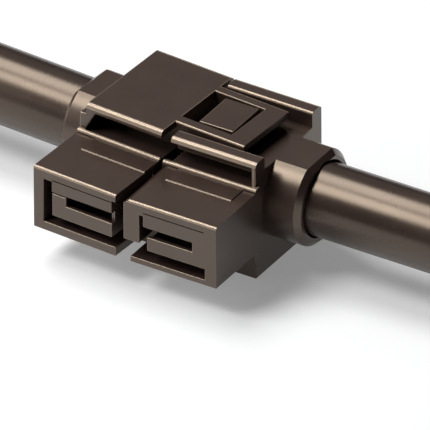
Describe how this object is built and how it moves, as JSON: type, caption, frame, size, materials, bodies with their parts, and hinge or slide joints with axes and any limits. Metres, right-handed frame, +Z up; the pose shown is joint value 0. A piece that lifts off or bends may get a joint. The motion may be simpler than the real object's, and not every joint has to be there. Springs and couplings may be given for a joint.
{
  "type": "inline fuse holder",
  "caption": "Inline blade fuse holder: plastic halves joined end to end by a latch loop, each with a blade socket in front, a round collar behind it and a thick lead.",
  "frame": {"origin": "on the surface that it stands on, under the middle of the box round the two halves, without the leads", "axes": "+X along the right half's lead, away from the joint; -Y the way the fuse sockets face; +Z up"},
  "size_m": [0.2189, 0.022, 0.0117],
  "materials": {
    "housing_plastic": "moulded, slightly glossy",
    "insulation": "smooth",
    "terminal_metal": "tinned",
    "copper": "bare strands"
  },
  "bodies": {
    "holder": {"left_housing": "housing_plastic", "right_housing": "housing_plastic", "left_terminal": "terminal_metal", "right_terminal": "terminal_metal", "left_conductor": "copper", "right_conductor": "copper", "left_wire_end": "copper", "right_wire_end": "copper", "left_cable": "insulation", "right_cable": "insulation"},
    "latch": {"latch_loop": "housing_plastic"}
  },
  "joints": [
    {"name": "latch_lift", "type": "hinge", "parent": "holder", "child": "latch", "pos_m": [-0.00035, 0.00325, 0.01117], "axis": [-0.0628, -0.998, 0], "range_deg": [0, 14], "stiffness_Nm_per_rad": 0.03}
  ]
}
